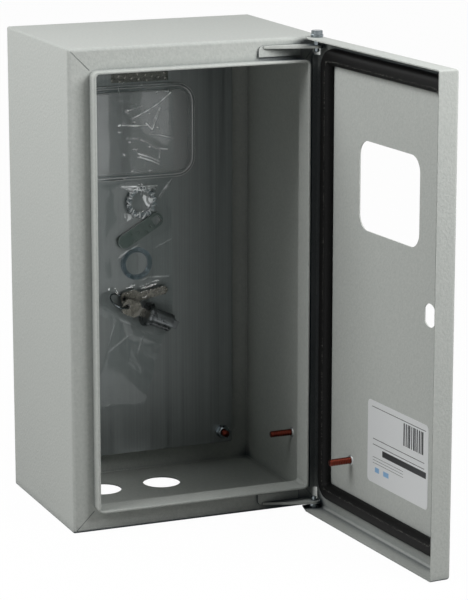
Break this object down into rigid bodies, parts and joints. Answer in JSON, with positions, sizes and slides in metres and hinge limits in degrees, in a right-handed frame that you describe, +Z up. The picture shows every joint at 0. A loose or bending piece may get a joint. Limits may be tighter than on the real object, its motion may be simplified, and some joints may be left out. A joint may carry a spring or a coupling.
{
  "type": "electrical enclosure",
  "caption": "Wall-mounted sheet-steel electrical enclosure with a hinged windowed door, foam gasket, mounting plate, cable entries and a bag of loose lock fittings.",
  "frame": {"origin": "centre of the four wall holes, on the outer face of the back", "axes": "+Z up, +Y from the open front towards the wall, +X to the right seen from the front"},
  "size_m": [0.2324, 0.3772, 0.4062],
  "materials": {
    "powder_coat": "satin light grey powder coat",
    "zinc_plated_steel": "bright zinc plating",
    "galvanised_steel": "rolled galvanised sheet",
    "copper_plated_steel": "dull copper plating",
    "foam_rubber": "matt black closed-cell foam",
    "paper_label": "plain white sticker",
    "clear_plastic": "clear moulded plastic",
    "zinc_casting": "bare zinc casting",
    "clear_seal": "translucent soft seal",
    "brass": "satin brass",
    "clear_film": "clear crinkled film",
    "clear_tape": "clear sticky tape"
  },
  "bodies": {
    "enclosure": {"enclosure_body": "powder_coat", "upper_hinge_bracket": "powder_coat", "lower_hinge_bracket": "powder_coat", "wall_earth_stud": "copper_plated_steel", "mounting_plate": "galvanised_steel", "plate_studs": "copper_plated_steel", "plate_spacers": "zinc_plated_steel", "plate_washers": "zinc_plated_steel", "plate_nuts": "zinc_plated_steel", "window_pane": "clear_plastic", "lock_body": "zinc_casting", "lock_plug": "zinc_casting", "lock_nut": "zinc_casting", "lock_cam": "zinc_plated_steel", "seal_ring": "clear_seal", "inserted_key": "brass", "spare_key": "brass", "key_ring": "zinc_plated_steel", "accessory_bag": "clear_film", "bag_tape": "clear_tape"},
    "door": {"door_panel": "powder_coat", "door_gasket": "foam_rubber", "upper_hinge_bolt": "zinc_plated_steel", "upper_hinge_washer": "zinc_plated_steel", "lower_hinge_pin": "zinc_plated_steel", "door_earth_stud": "copper_plated_steel", "door_label": "paper_label"}
  },
  "joints": [
    {"name": "door_hinge", "type": "hinge", "parent": "enclosure", "child": "door", "pos_m": [0.1, -0.167, 0], "axis": [0, 0, 1], "range_deg": [-94, 21]}
  ]
}
